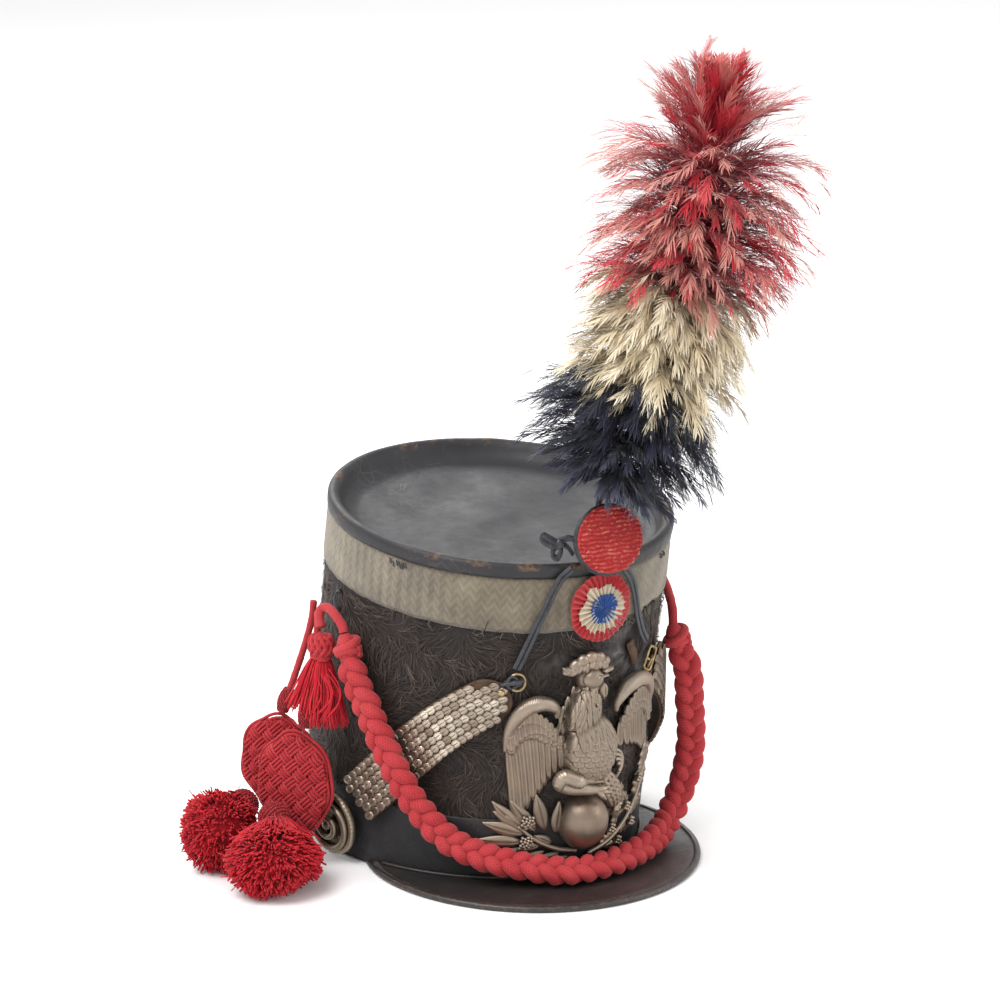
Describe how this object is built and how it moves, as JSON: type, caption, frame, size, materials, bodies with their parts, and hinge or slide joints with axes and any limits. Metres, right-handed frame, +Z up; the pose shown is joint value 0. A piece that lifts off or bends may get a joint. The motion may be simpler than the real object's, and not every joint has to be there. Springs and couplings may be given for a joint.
{
  "type": "shako hat",
  "caption": "Tall oval plush-covered shako with sunken leather top, lace band, visor, plume, pompon, cockade, rooster plate, scaled chin strap and plaited red cordon.",
  "frame": {"origin": "centre of the footprint of the hat without its loose cordon, at the base rim's height", "axes": "+Z up through the crown, -Y towards the visor and plate, -X towards the wearer's right"},
  "size_m": [0.2742, 0.2854, 0.4285],
  "materials": {
    "fur": "matted long-pile plush",
    "leather_black": "worn, cracked, half gloss",
    "leather_brown": "raw flesh side",
    "lace": "tarnished metal-thread lace",
    "silvered": "silver worn through to copper",
    "brass": "dull brass",
    "red_wool": "knitted and cut wool",
    "feather_red": "dyed feather",
    "feather_cream": "undyed feather",
    "feather_navy": "dyed feather"
  },
  "bodies": {
    "root": {"boss_L": "silvered", "boss_R": "silvered", "boss_seat_L": "leather_brown", "boss_seat_R": "leather_brown", "chin_buckle": "brass", "chin_ring": "brass", "chin_rivet": "brass", "chin_scales_L": "silvered", "chin_scales_R": "silvered", "chin_strap_L": "leather_brown", "chin_strap_R": "leather_brown", "cockade": "red_wool", "cordon_collar_L": "red_wool", "cordon_collar_R": "red_wool", "cordon_plait": "red_wool", "crown_shell": "fur", "crown_top": "leather_black", "galon_band": "lace", "hook_cord_L": "red_wool", "hook_cord_R": "red_wool", "lace_L": "leather_black", "lace_R": "leather_black", "lace_knot_R": "leather_black", "leather_tab": "leather_black", "lower_band": "leather_black", "plume_cream": "feather_cream", "plume_crimson": "feather_red", "plume_navy": "feather_navy", "plume_stem": "leather_black", "pompon_backing": "leather_black", "pompon_bow": "leather_black", "pompon_disc": "red_wool", "raquette_cord_front": "red_wool", "raquette_cord_rear": "red_wool", "raquette_front": "red_wool", "raquette_neck_front": "red_wool", "raquette_neck_rear": "red_wool", "raquette_rear": "red_wool", "rooster_plate": "silvered", "side_loop_L": "leather_black", "side_loop_R": "leather_black", "small_tassel_head": "red_wool", "small_tassel_skirt": "red_wool", "tassel_fringe_front": "red_wool", "tassel_fringe_rear": "red_wool", "tassel_knot_front": "red_wool", "tassel_knot_rear": "red_wool", "visor": "leather_black", "visor_binding": "leather_black", "visor_welt": "leather_black"}
  },
  "joints": []
}
